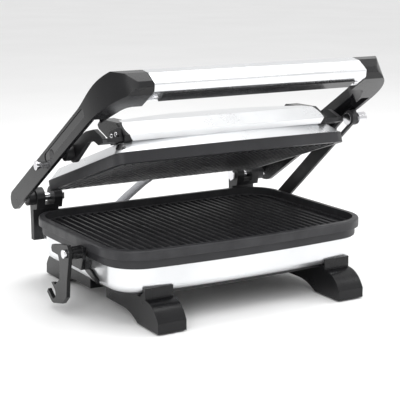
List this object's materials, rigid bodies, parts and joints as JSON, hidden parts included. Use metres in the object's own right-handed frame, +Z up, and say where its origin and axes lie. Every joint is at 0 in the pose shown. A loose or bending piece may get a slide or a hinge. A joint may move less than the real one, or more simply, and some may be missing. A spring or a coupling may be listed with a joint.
{
  "type": "panini press",
  "caption": "Two-sided electric sandwich grill: ribbed plates, floating lid on swinging arms with a cross handle, side latch and slotted stay, on curved legs.",
  "frame": {"origin": "on the surface it stands on, under the middle of the overall box with the lid open", "axes": "+X across to the right, seen from the front, -Y the front, +Z up"},
  "size_m": [0.3264, 0.2412, 0.2327],
  "materials": {
    "silver": "satin silver",
    "cast": "dark nonstick coating",
    "dark_bezel": "dark grey satin",
    "gloss_black": "polished black",
    "inlay": "polished black",
    "satin_black": "satin black",
    "steel": "polished",
    "element": "dull heated metal",
    "rubber": "matte",
    "lens": "clear dark",
    "control": "ceramic",
    "conduit": "grey braided sleeve"
  },
  "bodies": {
    "base": {"base_bezel": "dark_bezel", "base_pan": "satin_black", "base_tub": "silver", "conduit_gland": "steel", "grill_studs": "steel", "hinge_bushes": "satin_black", "hinge_pins": "steel", "hinge_post_left": "satin_black", "hinge_post_right": "satin_black", "latch_bracket": "gloss_black", "latch_pin": "steel", "latch_tail": "gloss_black", "leg_front_left": "gloss_black", "leg_front_right": "gloss_black", "leg_pads": "rubber", "leg_rear_left": "gloss_black", "leg_rear_right": "gloss_black", "lower_element": "element", "lower_grill": "cast", "mains_inlet": "gloss_black", "pan_screws": "steel", "post_screws": "steel", "stay_bracket": "satin_black", "stay_pin": "steel", "thermostat": "control", "wiring_conduit": "conduit"},
    "lever_frame": {"arm_left": "gloss_black", "arm_right": "gloss_black", "arm_inlay_left": "inlay", "arm_inlay_right": "inlay", "handle_tube": "silver", "grip_insert": "inlay", "handle_screws": "steel", "float_pins": "satin_black", "float_bushes": "satin_black", "catch_stud": "steel", "stay_lug": "satin_black", "stay_knob": "steel"},
    "lid": {"lid_bezel": "dark_bezel", "upper_grill": "cast", "lid_cover": "silver", "lid_lens": "lens", "lid_reflector": "steel", "thermal_fuse": "control", "upper_element": "element", "bridge_cap_left": "gloss_black", "bridge_cap_right": "gloss_black", "lid_bridge": "silver", "yoke_left": "satin_black", "yoke_right": "satin_black", "yoke_screws": "steel"},
    "latch": {"latch_lever": "gloss_black"},
    "stay": {"lid_stay": "satin_black"}
  },
  "joints": [
    {"name": "lid_hinge", "type": "hinge", "parent": "base", "child": "lever_frame", "pos_m": [0, 0.1024, 0.087], "axis": [1, 0, 0], "range_deg": [0, 29.88], "deforming": ["wiring_conduit"]},
    {"name": "lid_float", "type": "hinge", "parent": "lever_frame", "child": "lid", "pos_m": [0, 0.00794, 0.14718], "axis": [1, 0, 0], "range_deg": [-11.63, 0]},
    {"name": "latch_pivot", "type": "hinge", "parent": "base", "child": "latch", "pos_m": [-0.158, -0.0307, 0.0613], "axis": [1, 0, 0], "range_deg": [0, 88]},
    {"name": "stay_pivot", "type": "hinge", "parent": "base", "child": "stay", "pos_m": [0.1448, 0.0844, 0.048], "axis": [1, 0, 0], "range_deg": [0, 29.79]}
  ],
  "couplings": [
    {"joint": "lid_float", "follows": "lid_hinge", "ratio": -0.38755},
    {"joint": "stay_pivot", "follows": "lid_hinge", "ratio": 0.99522}
  ]
}
